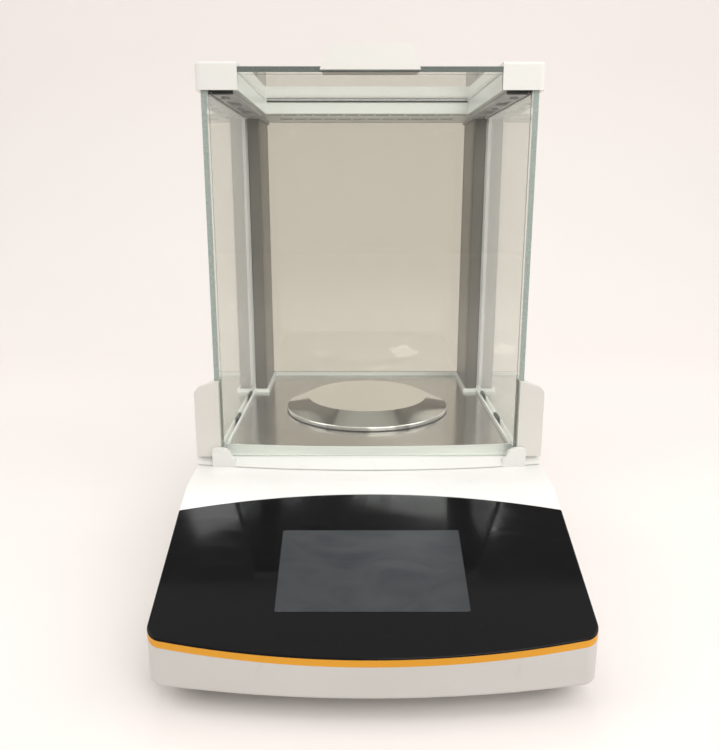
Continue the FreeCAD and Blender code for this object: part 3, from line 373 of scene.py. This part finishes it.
# ---------------------------------------------------------------- what each slot looks like
def slot_materials():
    return {
        "housing": moulded("housing_white", (0.87, 0.87, 0.86), (0.84, 0.84, 0.83), 0.34, Coat_Weight=0.15),
        # base_tray colour: partly a greyer plastic, partly darkened as painted shade for the base's front
        # band
        "base_tray": moulded("base_white_painted_shade", (0.60, 0.59, 0.57), (0.55, 0.54, 0.52), 0.40),
        "shield_plastic": moulded(
            "shield_white", (0.82, 0.83, 0.80), (0.79, 0.80, 0.77), 0.34, Coat_Weight=0.15),
        "handle_plastic": moulded("handle_white", (0.74, 0.73, 0.69), (0.70, 0.69, 0.65), 0.46, 0.3),
        "display": black_glass(),
        "screen": screen(),
        "accent": moulded("accent_amber", (0.74, 0.33, 0.005), (0.69, 0.30, 0.004), 0.46),
        "floor_steel": floor_steel(),
        "pan_steel": pan_steel(),
        "post_metal": metal("post_aluminium", (0.24, 0.225, 0.20), (0.20, 0.188, 0.17), 0.34, (40, 40, 1)),
        "guide_plastic": moulded("guide_grey", (0.50, 0.49, 0.48), (0.40, 0.39, 0.385), 0.35),
        "dark_plastic": moulded("dark_plastic", (0.03, 0.03, 0.03), (0.05, 0.05, 0.05), 0.45),
        "connector_metal": metal("plated_steel", (0.62, 0.62, 0.60), (0.52, 0.52, 0.50), 0.28, (1, 1, 30)),
        "foot_rubber": rubber(),
        "screw_steel": metal("screw_steel", (0.45, 0.45, 0.45), (0.35, 0.35, 0.35), 0.32, (30, 30, 1)),
        "cell_metal": metal("milled_aluminium", (0.70, 0.70, 0.71), (0.60, 0.60, 0.61), 0.32, (40, 1, 40)),
        "magnet_metal": metal("ground_iron", (0.22, 0.22, 0.23), (0.16, 0.16, 0.17), 0.42, (1, 1, 40)),
        "brass": metal("turned_brass", (0.68, 0.48, 0.18), (0.55, 0.37, 0.13), 0.28, (1, 1, 60)),
        "copper_coil": coil(),
        "circuit": circuit(),
        "ribbon": moulded("ribbon_grey", (0.40, 0.40, 0.42), (0.33, 0.33, 0.35), 0.45),
        "plate_label": metal("label_plate", (0.62, 0.62, 0.62), (0.56, 0.56, 0.56), 0.34, (1, 1, 80)),
    }


def dress_nodes():
    looks = slot_materials()
    for entry in frame["record"]["subparts"]:
        node = NODES[entry["node"]]
        if entry["node"] in GLASS_FACE_AXIS:
            # the rear pane gets the painted-shade tint, the other panes plain glass
            colour = REAR_SHADE_TINT if entry["node"] == "rear_glass" else CLEAR
            pane("glass_" + entry["node"], GLASS_FACE_AXIS[entry["node"]], colour).assign(node)
        else:
            looks[entry["material_slot"]].assign(node)
    return looks


# ---------------------------------------------------------------- detail pieces
DISPLAY_TILT = math.radians(20.0)
ROOF_FRONT_Y = 99.1 * MM


def finish_piece(name, mesh, body, look):
    """Puts a mesh in the scene, riding on a body and finished as a slot."""
    piece = bpy.data.objects.new(name, mesh)
    bpy.context.scene.collection.objects.link(piece)
    look.assign(piece)
    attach(piece, body)


def to_mesh(name, build, smooth=False):
    """Turns a bmesh into mesh data with its faces looking outwards."""
    bmesh.ops.recalc_face_normals(build, faces=build.faces)
    data = bpy.data.meshes.new(name)
    build.to_mesh(data)
    build.free()
    for poly in data.polygons:
        poly.use_smooth = smooth
    return data


def loop_tube(name, centres, radius, sides=10):
    """A round bead along a closed loop of points."""
    build = bmesh.new()
    rings = []
    for i, centre in enumerate(centres):
        along = (centres[(i + 1) % len(centres)] - centres[i - 1]).normalized()
        runs_across = abs(along.x) > 0.99
        side = along.orthogonal() if runs_across else along.cross(Vector((1, 0, 0)))
        side.normalize()
        up = side.cross(along)
        ring = []
        for k in range(sides):
            a = 2 * math.pi * k / sides
            ring.append(build.verts.new(centre + (side * math.cos(a) + up * math.sin(a)) * radius))
        rings.append(ring)
    for i, here in enumerate(rings):
        there = rings[(i + 1) % len(rings)]
        for k in range(sides):
            n = (k + 1) % sides
            build.faces.new((here[k], here[n], there[n], there[k]))
    return to_mesh(name, build, True)


def bevelled_block(name, low, high, bevel):
    """A block between two corners, with rounded edges."""
    build = bmesh.new()
    bmesh.ops.create_cube(build, size=1.0)
    for vert in build.verts:
        vert.co = Vector([(l + h) / 2 + c * (h - l) for l, h, c in zip(low, high, vert.co)])
    bmesh.ops.bevel(build, geom=build.edges[:], offset=bevel, segments=2, profile=0.6, affect="EDGES")
    return to_mesh(name, build)


def roof_gap_shadow_strip(look):
    """Dark strip along the roof's front top edge, just under the sliding glass; it stands in for the
    shadowed gap there, so its darkness is painted shadow.
    """
    pane_low, pane_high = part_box("top_door_glass")
    gap, inset, proud, sunk, tall, rounding = 0.2 * MM, 3.0 * MM, 0.7 * MM, 0.05 * MM, 1.3 * MM, 0.2 * MM
    top, half = pane_low[2] - gap, pane_high[0] - inset
    low = (-half, ROOF_FRONT_Y - proud, top - tall)
    mesh = bevelled_block("roof_gap_shadow_strip", low, (half, ROOF_FRONT_Y + sunk, top), rounding)
    finish_piece("roof_gap_shadow_strip", mesh, "base", look)


def screen_corners():
    """The touch screen's four upper corners, in order round it."""
    out = Vector((0, -math.sin(DISPLAY_TILT), math.cos(DISPLAY_TILT)))
    slack = 0.1 * MM
    verts = [v.co.copy() for v in NODES["touch_screen"].data.vertices]
    top = max(v.dot(out) for v in verts)
    low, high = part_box("touch_screen")
    face = [v for v in verts if v.dot(out) > top - slack]
    near, far = min(face, key=lambda v: v.y), max(face, key=lambda v: v.y)
    spots = ((low[0], near), (high[0], near), (high[0], far), (low[0], far))
    return [Vector((x, v.y, v.z)) for x, v in spots]


def screen_border(look):
    """Thin bead where the touch screen is bonded into the display glass, with rounded corners."""
    corners = screen_corners()
    reach, steps, bead_radius = 1.6 * MM, 5, 0.16 * MM
    centres = []
    for i, corner in enumerate(corners):
        back = (corners[i - 1] - corner).normalized() * reach
        ahead = (corners[(i + 1) % 4] - corner).normalized() * reach
        for k in range(steps + 1):
            t = k / steps
            centres.append(corner + back * (1 - t) ** 2 + ahead * t ** 2)
    finish_piece("screen_border", loop_tube("screen_border", centres, bead_radius), "base", look)


def add_details(looks):
    # painted shadow: a dark strip fills the gap under the sliding glass
    roof_gap_shadow_strip(looks["dark_plastic"])
    screen_border(looks["screen"])


# ---------------------------------------------------------------- build
WARM_WHITE, SOFT_WHITE, COOL_WHITE = (1, 0.96, 0.92), (1, 0.975, 0.95), (0.97, 0.98, 1.0)
# name: place, target, size (metres), power (watts), colour
LIGHTS = {
    "ceiling": ((0.0, -0.35, 2.0), (0, -0.35, 0), (3.0, 1.9), 8.5, WARM_WHITE),
    "strip_left": ((-0.40, 0.95, 1.95), (0, 0.05, 0.1), (0.40, 0.26), 1.7, COOL_WHITE),
    "strip_right": ((0.24, 0.95, 1.95), (0, 0.05, 0.1), (0.50, 0.26), 2.8, COOL_WHITE),
    "box_left": ((-1.2, -0.2, 1.1), (0, 0, 0.1), (0.9, 0.9), 5.2, SOFT_WHITE),
    "box_right": ((1.2, -0.2, 1.1), (0, 0, 0.1), (0.9, 0.9), 5.6, SOFT_WHITE),
    "front": ((0.4, -0.95, 0.85), (0, 0, 0.2), (0.8, 0.6), 5.5, SOFT_WHITE),
}
WORLD_COLOUR, WORLD_STRENGTH = (1.0, 0.955, 0.91), 0.50

add_camera()
add_world(WORLD_COLOUR, WORLD_STRENGTH)
for name, (place, target, size, power, colour) in LIGHTS.items():
    add_area(name, place, target, size, power, colour)
add_details(dress_nodes())
add_sweep()

size = {"cad": [list(c) for c in CAD_BOUNDS], "visual": [list(c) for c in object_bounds()]}
